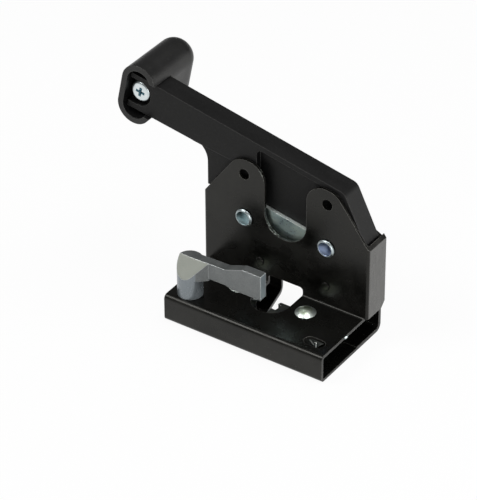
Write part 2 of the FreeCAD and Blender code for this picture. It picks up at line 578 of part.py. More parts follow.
def make_grip():
    """A hollow handle: a round-ended cup that opens to the front, with a boss for the screw."""
    body = new_body("grip")
    back = "(grip_front + grip_length)"
    outer = new_sketch(body, "XZ", "outer", "-" + back)
    add_polygon(outer, [("-grip_half", "-grip_tall"), ("grip_half", "-grip_tall"),
                        ("grip_half", "grip_tall"), ("-grip_half", "grip_tall")])
    pad(body, outer, "grip_length")
    round_edges(body, "sides", "grip_half - 0.1", lambda at, way, edge: abs(way.y) > 0.99)
    hollow = new_sketch(body, "XZ", "hollow", "-grip_front")
    add_polygon(hollow, [
        ("grip_wall - grip_half", "grip_wall - grip_tall"), ("grip_half - grip_wall", "grip_wall - grip_tall"),
        ("grip_half - grip_wall", "grip_tall - grip_wall"), ("grip_wall - grip_half", "grip_tall - grip_wall")])
    pocket(body, hollow, "grip_length - grip_floor")
    round_edges(body, "hollow_sides", "grip_half - grip_wall - 0.1", lambda at, way, edge:
                abs(way.y) > 0.99 and near(abs(at.x), size("grip_half") - size("grip_wall"))
                and near(abs(at.z), size("grip_tall") - size("grip_wall")))
    end = size("grip_front") + size("grip_length")
    round_edges(body, "dome", "grip_dome", lambda at, way, edge: near(at.y, end) and abs(way.y) < 0.01)
    boss = new_sketch(body, "XZ", "boss", "-" + back + " + grip_floor - over")
    add_circle(boss, "0", "0", "boss_radius")
    pad(body, boss, back + " - grip_floor + over - " + LEVER_BACK + " - fit_gap / 3")
    bore = new_sketch(body, "XZ", "bore", "-grip_front")
    add_circle(bore, "0", "0", "insert_radius")
    pocket(body, bore, LEVER_BACK + " - grip_front + insert_length + insert_room")
    deep = new_sketch(body, "XZ", "deep_bore", "-grip_front")
    add_circle(deep, "0", "0", "m6_radius + bore_gap")
    pocket(body, deep, LEVER_FRONT + " + pocket_floor - grip_front + m6_length + bore_room")
    slot = new_sketch(body, "XZ", "arm_slot", "over - grip_front")
    add_polygon(slot, [("0", "-arm_end_height / 2 - 2 * fit_gap"),
                       ("grip_half + over", "-arm_end_height / 2 - 2 * fit_gap"),
                       ("grip_half + over", "arm_end_height / 2 + fit_gap"),
                       ("0", "arm_end_height / 2 + fit_gap")])
    pocket(body, slot, LEVER_BACK + " - grip_front + over + fit_gap / 3")
    body.Placement = FreeCAD.Placement(FreeCAD.Vector(-size("grip_x"), 0, size("grip_z")),
                                       FreeCAD.Rotation(FreeCAD.Vector(0, 1, 0), size("grip_tilt")))
    body.setExpression("Placement.Base.x", link("-grip_x"))
    body.setExpression("Placement.Base.z", link("grip_z"))
    doc.recompute()
    return body


def make_grip_screw():
    seat = "(" + LEVER_FRONT + " + pocket_floor)"
    return turned("grip_screw", [
        ("0", "-pan_rise + recess_deep"), ("recess_floor", "-pan_rise + recess_deep"),
        ("recess_top", "-pan_rise"), ("pan_head - pan_flat", "-pan_rise"),
        ("pan_head - pan_slope", "-pan_rise + pan_drop"), ("pan_head", "-pan_edge"), ("pan_head", "0"),
        ("m6_radius", "0"), ("m6_radius", "m6_length - over"), ("m6_radius - over", "m6_length"),
        ("0", "m6_length")],
        ("-grip_x", seat, "grip_z"), along_y=True)


def make_grip_insert():
    return turned("grip_insert", [
        ("m6_radius", "0"), ("insert_radius", "0"), ("insert_radius", "insert_length"),
        ("m6_radius", "insert_length")], ("-grip_x", LEVER_BACK + " + fit_gap", "grip_z"), along_y=True)


# Release arm, crank and clip
def make_release_arm():
    body = new_body("release_arm")
    post = new_sketch(body, "XY", "post", "box_height + post_gap")
    add_circle(post, "-spindle_x", "0", "post_radius")
    pad(body, post, "blade_top - box_height - post_gap")
    blade = new_sketch(body, "XZ", "blade", "-blade_front - blade_thick")
    add_polygon(blade, [
        ("-spindle_x", "blade_under"), ("-step_start", "blade_under"),
        ("step_run - step_start", "blade_tip_under"), ("blade_tip", "blade_tip_under"),
        ("blade_tip", "blade_tip_top"), ("-step_end", "blade_tip_top"),
        ("-step_start", "blade_top + step_rise"), ("-spindle_x", "blade_top")])
    pad(body, blade, "blade_thick")
    web = new_sketch(body, "XY", "web", "blade_under - web_drop")
    add_polygon(web, [
        ("-spindle_x", "blade_front"), ("-spindle_x + post_radius * 0.7", "-post_radius * 0.7"),
        ("-spindle_x + post_radius + web_reach", "blade_front"),
        ("-spindle_x + post_radius + web_reach", "blade_front + web_back"),
        ("-spindle_x", "blade_front + web_back")])
    pad(body, web, "blade_top - blade_under + web_drop")
    # the hub's front is cut to a sloping facet
    facet = new_sketch(body, "YZ", "facet")
    add_polygon(facet, [
        ("blade_front", "blade_top"), ("blade_front", "blade_top + over"),
        ("-post_radius - over", "blade_top + over"),
        ("-post_radius - over", "blade_top - post_radius - facet_drop")])
    pocket(body, facet)
    spindle = new_sketch(body, "XY", "spindle", "crank_low")
    add_circle(spindle, "-spindle_x", "0", "spindle_radius")
    pad(body, spindle, "box_height - crank_low + over")
    journal = new_sketch(body, "XY", "journal", "journal_end")
    add_circle(journal, "-spindle_x", "0", "journal_radius")
    pad(body, journal, "crank_low - journal_end + over")
    return body


def make_release_crank():
    """The flat crank on the spindle: a lobe for the pawl and a tail with an upright tab."""
    body = new_body("release_crank")
    hub = new_sketch(body, "XY", "hub", "crank_low")
    add_circle(hub, "-spindle_x", "0", "crank_hub")
    pad(body, hub, "crank_sheet")
    tail = new_sketch(body, "XY", "tail", "crank_low")
    add_polygon(tail, [
        ("-spindle_x - tail_left", "lobe_start"), ("-spindle_x + tail_right", "lobe_start"),
        ("-spindle_x + tail_right", "tab_front - tail_corner"), ("-tab_x", "tab_front"),
        ("-tab_x", "tab_back"), ("-spindle_x - tail_inset", "tab_back"),
        ("-spindle_x - tail_left", "tab_back - tail_cut")])
    pad(body, tail, "crank_sheet")
    tab = new_sketch(body, "XY", "tab", "crank_low")
    add_polygon(tab, [("-tab_x - tab_sheet", "tab_front"), ("-tab_x", "tab_front"),
                      ("-tab_x", "tab_back"), ("-tab_x - tab_sheet", "tab_back")])
    pad(body, tab, "tab_top - crank_low")
    reach = "hypot(spindle_x - pivot_x; pivot_y)"
    along, up = "((spindle_x - pivot_x) / " + reach + ")", "(pivot_y / " + reach + ")"
    lobe = new_sketch(body, "XY", "lobe", "crank_low")

    def from_spindle(out, aside):
        return ("-spindle_x + " + out + " * " + along + " + " + aside + " * " + up,
                out + " * " + up + " - " + aside + " * " + along)
    add_polygon(lobe, [
        from_spindle("lobe_start", "works_gap"), from_spindle("lobe_reach", "works_gap"),
        from_spindle("lobe_reach", "(works_gap + lobe_width)"),
        from_spindle("lobe_waist", "(works_gap + lobe_root)"),
        from_spindle("0", "(works_gap + lobe_root)")])
    pad(body, lobe, "crank_sheet")
    bore = new_sketch(body, "XY", "bore")
    add_circle(bore, "-spindle_x", "0", "spindle_radius")
    pocket(body, bore)
    return body


def make_spindle_clip():
    return turned("spindle_clip", [
        ("journal_radius", "crank_low - clip_sheet"), ("clip_outer", "crank_low - clip_sheet"),
        ("clip_outer", "crank_low"), ("journal_radius", "crank_low")], ("-spindle_x", "0", "0"))


# Claw and pawl, with the corners of their outlines about their own pivots
CLAW_RELIEF = (("0", "0"), ("-8", "-30"), ("30", "-30"), ("30", "30"), ("-11", "30"))
CLAW_JAW = (("-30", "7"), ("-11.5", "7"), ("-8.6", "2.2"), ("-10.7", "-2.6"), ("-19.7", "-18.2"),
            ("-30", "-18.2"))
PAWL_BEAM = (("6.4", "5.6"), ("19.52", "-10.89"), ("24.1", "-16.7"), ("26.8", "-14.0"),
             ("29.05", "-15.9"), ("26.2", "-20.2"), ("20", "-19.6"), ("-5.5", "-6.5"))


def make_claw():
    """Built in its shut position about the local origin, then turned back to open."""
    body = new_body("claw")
    disc = new_sketch(body, "XY", "disc", "works_floor")
    add_circle(disc, "0", "0", "claw_radius")
    pad(body, disc, "claw_thick")
    relief = new_sketch(body, "XY", "relief", "works_floor - over")
    add_polygon(relief, CLAW_RELIEF)
    pocket(body, relief, "claw_thick + 2 * over", along=True)
    hub = new_sketch(body, "XY", "hub", "works_floor")
    add_circle(hub, "0", "0", "claw_hub")
    pad(body, hub, "claw_thick")
    jaw = new_sketch(body, "XY", "jaw", "works_floor - over")
    add_polygon(jaw, CLAW_JAW)
    pocket(body, jaw, "claw_thick + 2 * over", along=True)
    notch = new_sketch(body, "XY", "notch", "works_floor - over")
    outside = "(claw_radius + over)"
    add_polygon(notch, [
        (outside + " * cos(notch_from)", outside + " * sin(notch_from)"),
        ("tooth_radius * cos(notch_from)", "tooth_radius * sin(notch_from)"),
        ("tooth_radius * cos(notch_to)", "tooth_radius * sin(notch_to)"),
        (outside + " * cos(notch_to)", outside + " * sin(notch_to)")])
    pocket(body, notch, "claw_thick + 2 * over", along=True)
    bore = new_sketch(body, "XY", "bore", "works_floor - over")
    add_circle(bore, "0", "0", "claw_bush + running")
    pocket(body, bore, "claw_thick + 2 * over", along=True)
    body.Placement = FreeCAD.Placement(FreeCAD.Vector(size("pivot_x"), size("pivot_y"), 0),
                                       FreeCAD.Rotation(FreeCAD.Vector(0, 0, 1), -size("claw_open")))
    doc.recompute()
    return body


def make_pawl():
    """Built where it drops into the shut claw, then lifted to ride on the claw's rim."""
    body = new_body("pawl")
    hub = new_sketch(body, "XY", "hub", "works_floor")
    add_circle(hub, "0", "0", "pawl_hub")
    pad(body, hub, "pawl_thick")
    beam = new_sketch(body, "XY", "beam", "works_floor")
    add_polygon(beam, PAWL_BEAM)
    pad(body, beam, "pawl_thick")
    tail = new_sketch(body, "XY", "tail", "works_floor")
    heading = "(180 deg + atan(pivot_y / (spindle_x - pivot_x)) + pawl_lift * 1 deg)"

    def from_pivot(out, aside):
        return (out + " * cos(" + heading + ") + " + aside + " * sin(" + heading + ")",
                out + " * sin(" + heading + ") - " + aside + " * cos(" + heading + ")")
    add_polygon(tail, [
        from_pivot("0", "0"), from_pivot("tail_reach", "0"), from_pivot("tail_reach", "pawl_tail_tip"),
        from_pivot("pawl_tail_mid", "pawl_tail_root"), from_pivot("0", "pawl_tail_root")])
    pad(body, tail, "pawl_thick")
    bore = new_sketch(body, "XY", "bore", "works_floor - over")
    add_circle(bore, "0", "0", "pawl_bush + running")
    pocket(body, bore, "pawl_thick + 2 * over", along=True)
    body.Placement = FreeCAD.Placement(FreeCAD.Vector(-size("pivot_x"), size("pivot_y"), 0),
                                       FreeCAD.Rotation(FreeCAD.Vector(0, 0, 1), -size("pawl_lift")))
    doc.recompute()
    return body


# Torsion springs
def make_spring(label, coil, turns, start, legs, place, turn, hook=0.0):
    """A close coil with two straight legs, the last of them with an optional upright end."""
    wire = size("wire")
    pitch = wire * size("coil_pitch")
    helix = Part.makeHelix(pitch, pitch * turns, coil)
    round_wire = Part.Circle(FreeCAD.Vector(coil, 0, 0), FreeCAD.Vector(0, 1, 0), wire / 2)
    ring = Part.Wire([round_wire.toShape()])
    solid = Part.Wire(helix.Edges).makePipeShell([ring], True, True)
    spin = FreeCAD.Rotation(FreeCAD.Vector(0, 0, 1), 360.0 * turns)
    outward = spin.multVec(FreeCAD.Vector(0, 1, 0))
    last_start = spin.multVec(FreeCAD.Vector(coil, 0, 0)) + FreeCAD.Vector(0, 0, pitch * turns)
    pieces = [
        Part.makeCylinder(wire / 2, legs[0], FreeCAD.Vector(coil, 0, 0), FreeCAD.Vector(0, -1, 0)),
        Part.makeCylinder(wire / 2, legs[1], last_start, outward)]
    if hook:
        tip = last_start + outward * legs[1]
        pieces += [Part.makeSphere(wire / 2, tip), Part.makeCylinder(wire / 2, hook, tip)]
    spring = doc.addObject("Part::Feature", label)
    spring.Label = label
    spring.Shape = solid.fuse(pieces).removeSplitter()
    spring.Placement = FreeCAD.Placement(FreeCAD.Vector(*place), turn.multiply(
        FreeCAD.Rotation(FreeCAD.Vector(0, 0, 1), start)))
    return spring


def turns_between(low, high, part_turn):
    """Whole turns that fit between two heights, and a set part of a turn."""
    room = high - low - size("wire")
    return math.floor(room / (size("wire") * size("coil_pitch")) - part_turn) + part_turn


def make_springs():
    upright = FreeCAD.Rotation(FreeCAD.Vector(0, 0, 1), 0)
    facing = FreeCAD.Rotation(FreeCAD.Vector(1, 0, 0), -90)
    half = size("wire") / 2
    gap = size("works_gap")
    roof = size("box_height") - size("sheet")
    claw_top = size("works_floor") + size("claw_thick")
    pawl_top = size("works_floor") + size("pawl_thick")
    back = size("back_at") - size("back_sheet")
    # the claw spring's fixed leg runs at a tangent to its anchor hole in the top plate
    away = FreeCAD.Vector(size("anchor_x") - size("pivot_x"), size("anchor_y") - size("pivot_y"), 0)
    lean = math.degrees(math.acos(size("claw_coil") / away.Length))
    claw_end = math.degrees(math.atan2(away.y, away.x)) - lean
    claw_leg = math.sqrt(away.Length ** 2 - size("claw_coil") ** 2)
    claw_turns = turns_between(claw_top + gap, roof, size("claw_part_turn"))
    pawl_turns = turns_between(pawl_top + gap, roof, size("pawl_part_turn"))
    return [
        make_spring("claw_spring", size("claw_coil"), claw_turns, claw_end - 360 * claw_turns,
                    (size("claw_leg"), claw_leg + size("anchor_past")),
                    (size("pivot_x"), size("pivot_y"), claw_top + gap + half),
                    upright, size("sheet") + size("hook_rise")),
        make_spring("pawl_spring", size("pawl_coil"), pawl_turns, size("pawl_leg_turn"),
                    (size("pawl_leg"), size("pawl_leg_end")),
                    (-size("pivot_x"), size("pivot_y"), pawl_top + gap + half), upright),
        make_spring("lever_spring", size("lever_coil"), size("lever_turns"), size("lever_leg_turn"),
                    (size("lever_leg"), size("lever_leg_end")),
                    (size("rivet_x"), back - size("lever_spring_in"), size("rivet_z")), facing),
    ]


def main():
    parts = [
        make_front_case(), make_back_case(), make_lever(), make_cam_plate(), make_plate_screws(),
        make_grip(), make_grip_screw(), make_grip_insert(),
        make_upright_rivet("pivot_rivet", "rivet_x"), make_upright_rivet("stop_rivet", "-rivet_x"),
        make_upright_bush("pivot_bush", "rivet_x"), make_upright_bush("stop_bush", "-rivet_x"),
        make_release_arm(), make_release_crank(), make_spindle_clip(),
        make_claw(), make_pivot_rivet("claw_rivet", "pivot_x"),
        make_pivot_bush("claw_bush", "pivot_x", "claw_bush"),
        make_washer("claw_washer", "pivot_x", "claw_bush"),
        make_pawl(), make_pivot_rivet("pawl_rivet", "-pivot_x"),
        make_pivot_bush("pawl_bush", "-pivot_x", "pawl_bush"),
        make_washer("pawl_washer", "-pivot_x", "pawl_bush"),
    ] + make_springs()
    doc.recompute()
    for item in doc.Objects:
        if "Invalid" in item.State or "Error" in item.State:
            raise RuntimeError(item.Label + " failed: " + str(item.State))
    os.makedirs("parts", exist_ok=True)
    for part in parts:
        shape = part.Shape
        if shape.isNull() or not shape.isValid():
            raise RuntimeError(part.Label + " has no valid shape")
        shape.exportStep("parts/" + part.Label + ".step")
        box = shape.BoundBox
        print("%-14s solids %d volume %9.1f  x %.1f..%.1f y %.1f..%.1f z %.1f..%.1f" % (
            part.Label, len(shape.Solids), shape.Volume, box.XMin, box.XMax, box.YMin, box.YMax,
            box.ZMin, box.ZMax))


main()
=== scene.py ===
import bpy
import bmesh
import math
from mathutils import Matrix, Vector


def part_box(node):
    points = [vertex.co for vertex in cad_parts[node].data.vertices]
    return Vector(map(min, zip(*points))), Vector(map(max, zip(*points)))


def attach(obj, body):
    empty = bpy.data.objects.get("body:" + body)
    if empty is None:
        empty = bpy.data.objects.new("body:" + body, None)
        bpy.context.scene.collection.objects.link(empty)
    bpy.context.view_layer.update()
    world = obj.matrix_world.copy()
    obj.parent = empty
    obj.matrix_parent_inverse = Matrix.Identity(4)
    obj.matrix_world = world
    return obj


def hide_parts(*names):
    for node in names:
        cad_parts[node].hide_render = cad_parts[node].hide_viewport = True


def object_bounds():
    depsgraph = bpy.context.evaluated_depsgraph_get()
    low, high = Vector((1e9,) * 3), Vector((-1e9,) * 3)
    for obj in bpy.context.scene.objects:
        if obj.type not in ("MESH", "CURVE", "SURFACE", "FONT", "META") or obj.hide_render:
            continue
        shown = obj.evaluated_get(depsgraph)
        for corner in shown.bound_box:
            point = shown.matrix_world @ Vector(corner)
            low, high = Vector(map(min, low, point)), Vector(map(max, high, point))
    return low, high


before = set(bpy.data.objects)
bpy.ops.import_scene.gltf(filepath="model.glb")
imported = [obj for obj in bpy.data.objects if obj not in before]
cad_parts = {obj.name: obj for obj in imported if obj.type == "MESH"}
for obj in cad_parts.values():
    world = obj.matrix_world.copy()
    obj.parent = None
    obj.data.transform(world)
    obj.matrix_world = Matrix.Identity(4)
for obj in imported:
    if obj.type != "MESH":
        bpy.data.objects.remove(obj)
cad_low, cad_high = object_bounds()

MM = 0.001

# Camera: the photograph's viewing angle, in degrees, millimetres and pixels
CAMERA_AZIMUTH = 34.36
CAMERA_ELEVATION = 35.06
CAMERA_ROLL = -0.30
CAMERA_TARGET = Vector((-2.9, -7.2, 60.0)) * MM
CAMERA_DISTANCE = 1474.0 * MM
FOCAL_PIXELS = 3000.0
IMAGE_HEIGHT = 500.0
SENSOR = 36.0
CLIP_END = 20.0

# Places on the latch that its finishes follow, in millimetres
DIMPLES = ((-15.1, 29.6, 26.8), (24.5, 29.6, 26.8))
DIMPLE_REACH = (3.4, 4.0)
FRONT_BEND = (0.0, -8.25, 15.05)
FRONT_BEND_REACH = (1.6, 2.2)
UPRIGHT_FRONT = 30.0
FLANGE_FOOT = (15.0, 15.6)
FLANGE_OUTSIDE = (48.9, 49.2)
SPINDLE = (-37.5, 0.0, 0.0)
POST_EDGE = (6.8, 6.9)

# Chipped rims on the upright's left ear: across, up, reach, and how much of the coat has gone
CHIPPED_RIMS = ((-8.3, 47.6, 5.5, 1.0), (-15.2, 79.5, 4.5, 0.35))
CHIP_FADE = 2.0

# Rolled-over rivets, in millimetres from the head's front: the dish and the tail's steps
RIVET_DISH = [(0.0, 1.3), (1.0, 1.27), (2.0, 1.12), (2.9, 0.82), (3.55, 0.45)]
RIVET_SHANK = 3.0
RIVET_TAIL = 4.4
RIVET_TAIL_RISE = 1.4
RIVET_UNDER_HEAD = 1.6
RIVET_TINTS = {
    "stop_rivet": ((0.16, 0.26, 0.28), (0.27, 0.37, 0.39)),
    "pivot_rivet": ((0.16, 0.21, 0.34), (0.25, 0.31, 0.44)),
}
DOME_RISE = 2.0
DOME_SHANK = 4.0

# Cross recess of the grip's screw, in millimetres: half width and half thickness of an arm
CROSS_TOP = (2.9, 0.85)
CROSS_FOOT = (1.9, 0.6)
CROSS_DEPTH = 2.3
CROSS_TURN = 12
PAN_RADIUS = 6.0

# Bare tab on the top plate's end: its middle and its half sizes, in millimetres
TAB_PLACE = (47.6, 13.0, 15.1)
TAB_HALF_SIZES = (0.75, 1.5, 0.8)

# Stage and light: metres, watts
FLOOR_HALF = 3.0
FLOOR_GAP = 0.2 * MM
FLOOR_WHITE = 0.93
WORLD_LIGHT = 0.22
LAMPS = (
    ("key", (-0.60, -0.55, 1.05), (0.6, 0.5), 7.0),
    ("right_strip", (0.95, 0.30, 0.30), (0.5, 0.28), 6.0),
    ("front_strip", (0.70, -0.75, 0.22), (0.16, 0.34), 2.5),
    ("top", (0.25, 0.1, 1.3), (0.7, 0.5), 6.0),
)


def metres(values):
    """The same values, given in millimetres, in metres."""
    return tuple(value * MM for value in values)


# Node helpers
class Shader:
    """A material with one principled shader, and short calls to add nodes to it."""

    def __init__(self, name, color, roughness, metallic=0.0):
        self.material = bpy.data.materials.new(name)
        self.material.use_nodes = True
        self.tree = self.material.node_tree
        self.bsdf = self.tree.nodes["Principled BSDF"]
        self.constant("Base Color", (*color, 1))
        self.constant("Roughness", roughness)
        self.constant("Metallic", metallic)
        self.place = self.add("ShaderNodeTexCoord").outputs["Object"]

    def add(self, kind, **values):
        node = self.tree.nodes.new(kind)
        for key, value in values.items():
            setattr(node, key, value)
        return node

    def join(self, source, target):
        self.tree.links.new(source, target)

    def noise(self, scale, detail=4.0, stretch=None, rough=0.55):
        node = self.add("ShaderNodeTexNoise")
        node.inputs["Scale"].default_value = scale
        node.inputs["Detail"].default_value = detail
        node.inputs["Roughness"].default_value = rough
        place = self.place
        if stretch:
            mapping = self.add("ShaderNodeMapping")
            mapping.inputs["Scale"].default_value = stretch
            self.join(place, mapping.inputs["Vector"])
            place = mapping.outputs["Vector"]
        self.join(place, node.inputs["Vector"])
        return node.outputs["Fac"]

    def ramp(self, source, low, high, start=0.0, end=1.0):
        node = self.add("ShaderNodeMapRange")
        node.inputs["From Min"].default_value = low
        node.inputs["From Max"].default_value = high
        node.inputs["To Min"].default_value = start
        node.inputs["To Max"].default_value = end
        self.join(source, node.inputs["Value"])
        return node.outputs["Result"]

    def math(self, operation, first, second):
        node = self.add("ShaderNodeMath", operation=operation, use_clamp=True)
        for value, socket in zip((first, second), node.inputs):
            if isinstance(value, (int, float)):
                socket.default_value = value
            else:
                self.join(value, socket)
        return node.outputs[0]

    def mix_color(self, factor, first, second):
        node = self.add("ShaderNodeMix", data_type="RGBA")
        self.join(factor, node.inputs["Factor"])
        for value, socket in zip((first, second), (node.inputs["A"], node.inputs["B"])):
            if isinstance(value, tuple):
                socket.default_value = (*value, 1)
            else:
                self.join(value, socket)
        return node.outputs["Result"]

    def edges(self, radius):
        """1 along the sharp edges, 0 on the faces, and the rounded normal."""
        bevel = self.add("ShaderNodeBevel", samples=6)
        bevel.inputs["Radius"].default_value = radius
        plain = self.add("ShaderNodeNewGeometry")
        dot = self.add("ShaderNodeVectorMath", operation="DOT_PRODUCT")
        self.join(bevel.outputs["Normal"], dot.inputs[0])
        self.join(plain.outputs["Normal"], dot.inputs[1])
        return self.ramp(dot.outputs["Value"], 0.995, 0.86), bevel.outputs["Normal"]

    def constant(self, socket, value):
        self.bsdf.inputs[socket].default_value = value

    def near(self, centre, full, gone, share=1.0):
        """A share within one distance of a point, falling to 0 at another."""
        off = self.add("ShaderNodeVectorMath", operation="DISTANCE")
        self.join(self.place, off.inputs[0])
        off.inputs[1].default_value = centre
        return self.ramp(off.outputs["Value"], full, gone, share, 0.0)

    def from_axis(self, axis, centre):
        """Distance from a line through a point, along one of the three axes."""
        split = self.add("ShaderNodeVectorMath", operation="SUBTRACT")
        self.join(self.place, split.inputs[0])
        split.inputs[1].default_value = centre
        flat = self.add("ShaderNodeVectorMath", operation="MULTIPLY")
        self.join(split.outputs["Vector"], flat.inputs[0])
        flat.inputs[1].default_value = tuple(0.0 if i == axis else 1.0 for i in range(3))
        far = self.add("ShaderNodeVectorMath", operation="LENGTH")
        self.join(flat.outputs["Vector"], far.inputs[0])
        return far.outputs["Value"]

    def facing(self):
        """The three parts of the face's own normal."""
        parts = self.add("ShaderNodeSeparateXYZ")
        self.join(self.add("ShaderNodeNewGeometry").outputs["True Normal"], parts.inputs[0])
        return parts.outputs

    def bump(self, height, strength, distance, normal=None):
        node = self.add("ShaderNodeBump")
        node.inputs["Strength"].default_value = strength
        node.inputs["Distance"].default_value = distance
        self.join(height, node.inputs["Height"])
        if normal is not None:
            self.join(normal, node.inputs["Normal"])
        self.join(node.outputs["Normal"], self.bsdf.inputs["Normal"])

    def color(self, source):
        self.join(source, self.bsdf.inputs["Base Color"])

    def roughness(self, source):
        self.join(source, self.bsdf.inputs["Roughness"])


# Materials
def powder_coat():
    """Satin black coat on sheet steel: fine orange peel, brighter edges that are part wear and part painted
    highlight, and a few dust specks.

    The side flanges are painted greyer as a painted sheen, with fine upright streaks. Faces
    that lie flat are painted a little blacker as painted shade, and the coat has chipped from two rims of
    the upright.
    """
    coat = Shader("black_powder_coat", (0.006, 0.006, 0.0055), 0.3)
    edge, normal = coat.edges(0.45 * MM)
    patches = coat.ramp(coat.noise(60.0), 0.35, 0.7)
    base = coat.mix_color(patches, (0.0022, 0.0022, 0.0018), (0.0118, 0.0115, 0.0102))
    sideways, _, upward = coat.facing()
    # Painted shade: faces that lie flat, facing up, are painted blacker.
    painted_lying_shade = coat.ramp(upward, 0.80, 0.95)
    base = coat.mix_color(painted_lying_shade, base, (0.0020, 0.0020, 0.0016))
    # Painted sheen: faces turned sideways on the side flanges are painted greyer, with fine upright streaks.
    painted_flange_sheen = coat.ramp(coat.math("ABSOLUTE", sideways, 0.0), 0.90, 0.98)
    here = coat.add("ShaderNodeSeparateXYZ")
    coat.join(coat.place, here.inputs[0])
    across, _, up = here.outputs
    flange = coat.ramp(up, *metres(FLANGE_FOOT))
    outer = coat.ramp(coat.math("ABSOLUTE", across, 0.0), *metres(FLANGE_OUTSIDE))
    painted_flange_sheen = coat.math("MULTIPLY", painted_flange_sheen, coat.math("MULTIPLY", flange, outer))
    streaks = coat.ramp(coat.noise(260.0, 4.0, stretch=(1.0, 3.0, 0.35)), 0.3, 0.7)
    streaks = coat.mix_color(streaks, (0.058, 0.0575, 0.055), (0.086, 0.085, 0.081))
    base = coat.mix_color(painted_flange_sheen, base, streaks)
    # Brighter edges: part wear, part painted highlight, with less of it on the dimples and along the front
    # bend.
    wear_and_edge_highlight = coat.math("MULTIPLY", edge, coat.ramp(coat.noise(300.0), 0.3, 0.62, 0.2, 0.85))
    dimples = coat.math("MAXIMUM", *(coat.near(metres(dimple), *metres(DIMPLE_REACH)) for dimple in DIMPLES))
    wear_and_edge_highlight = coat.math("MULTIPLY", wear_and_edge_highlight, coat.math("SUBTRACT", 1.0, dimples))
    bend = coat.from_axis(0, metres(FRONT_BEND))
    wear_and_edge_highlight = coat.math("MULTIPLY", wear_and_edge_highlight, coat.ramp(bend, *metres(FRONT_BEND_REACH), 0.35, 1.0))
    base = coat.mix_color(wear_and_edge_highlight, base, (0.155, 0.150, 0.138))
    rim = coat.edges(1.6 * MM)[0]
    for across, up, reach, share in CHIPPED_RIMS:
        spot = coat.near(metres((across, UPRIGHT_FRONT, up)), (reach - CHIP_FADE) * MM, reach * MM, share)
        chips = coat.math("MULTIPLY", coat.ramp(coat.noise(700.0, 2.0), 0.50, 0.55), rim)
        base = coat.mix_color(coat.math("MULTIPLY", chips, spot), base, (0.48, 0.52, 0.47))
    dust = coat.ramp(coat.noise(1700.0, 1.0), 0.74, 0.80)
    dust = coat.math("MULTIPLY", dust, coat.ramp(coat.noise(45.0, 2.0), 0.46, 0.62))
    coat.color(coat.mix_color(dust, base, (0.12, 0.115, 0.11)))
    coat.roughness(coat.ramp(patches, 0.0, 1.0, 0.21, 0.37))
    coat.constant("Specular IOR Level", 0.29)
    coat.constant("Specular Tint", (1.0, 0.99, 0.93, 1.0))
    soft = coat.add("ShaderNodeMix", data_type="VECTOR")
    coat.join(dimples, soft.inputs["Factor"])
    coat.join(normal, soft.inputs["A"])
    coat.join(coat.add("ShaderNodeNewGeometry").outputs["Normal"], soft.inputs["B"])
    coat.bump(coat.noise(1400.0, 3.0), 0.06, 0.0002, soft.outputs["Result"])
    return coat.material


def moulded(name, shade, rough_low, rough_high, grain, gloss):
    """Black glass-filled moulding: fine spark texture, faint flow marks and edges painted brighter as a
    painted highlight.
    """
    skin = Shader(name, (shade, shade, shade * 1.05), rough_high)
    edge, normal = skin.edges(0.5 * MM)
    flow = skin.ramp(skin.noise(38.0, 3.0, stretch=(1.0, 3.0, 2.4)), 0.3, 0.72)
    base = skin.mix_color(flow, (shade * 0.75, shade * 0.75, shade * 0.78),
                          (shade * 1.3, shade * 1.29, shade * 1.34))
    # Painted highlight: edges are painted much brighter than the faces.
    base = skin.mix_color(skin.math("MULTIPLY", edge, 0.8), base,
                          (shade * 14.0, shade * 14.0, shade * 13.4))
    grains = skin.ramp(skin.noise(grain * 0.6, 1.0), 0.62, 0.74, 0.0, 0.5)
    skin.color(skin.mix_color(grains, base, (shade * 5.0, shade * 5.0, shade * 5.1)))
    skin.roughness(skin.ramp(flow, 0.0, 1.0, rough_low, rough_high))
    skin.bump(skin.noise(grain, 2.0), 0.34, 0.00022, normal)
    skin.constant("Specular IOR Level", gloss)
    skin.constant("Specular Tint", (1.0, 0.995, 0.96, 1.0))
    return skin.material


def plated(name, color, rough_low, rough_high, spots, upward_highlight=0.0):
    """Zinc plate on steel: faint bluish and yellow clouds, small dull spots and edges painted bright as a
    painted highlight.

    The last argument is how much brighter than the flat faces an upward edge is painted, as a painted
    highlight.
    """
    metal = Shader(name, color, rough_low, 1.0)
    edge, normal = metal.edges(0.2 * MM)
    if upward_highlight:
        # Painted highlight: faces turned upward are painted brighter and made less metallic.
        upward = metal.ramp(metal.facing()[2], 0.5, 0.8, 0.0, upward_highlight)
        edge = metal.math("MAXIMUM", edge, upward)
        metal.join(metal.math("SUBTRACT", 1.0, upward), metal.bsdf.inputs["Metallic"])
    clouds = metal.ramp(metal.noise(130.0), 0.35, 0.7)
    cool = tuple(value * factor for value, factor in zip(color, (0.78, 0.88, 0.93)))
    warm = tuple(value * factor for value, factor in zip(color, (1.06, 1.08, 0.98)))
    base = metal.mix_color(clouds, cool, warm)
    dull = metal.ramp(metal.noise(900.0, 2.0), 0.62, 0.72, 0.0, spots)
    base = metal.mix_color(dull, base, tuple(value * 0.3 for value in color))
    # Painted highlight: edges are painted near white.
    metal.color(metal.mix_color(edge, base, (0.93, 0.94, 0.90)))
    metal.roughness(metal.ramp(clouds, 0.0, 1.0, rough_low, rough_high))
    metal.bump(metal.noise(700.0, 3.0), 0.07, 0.0001, normal)
    return metal.material


def passivated(name, axis, centre, reach, inner, outer, rim, rough=0.16, rim_from=0.70):
    """Bright zinc whose passivated tint changes from the middle of a head to its rim."""
    metal = Shader(name, outer, rough, 1.0)
    distance = metal.math("DIVIDE", metal.from_axis(axis, centre), reach)
    clouds = metal.noise(260.0, 3.0)
    mottled = metal.mix_color(metal.ramp(clouds, 0.38, 0.64), inner, outer)
    base = metal.mix_color(metal.ramp(distance, rim_from, rim_from + 0.12), mottled, rim)
    metal.color(base)
    metal.roughness(metal.ramp(clouds, 0.3, 0.7, rough, rough + 0.08))
    metal.bump(metal.noise(700.0, 2.0), 0.03, 0.00008)
    return metal.material


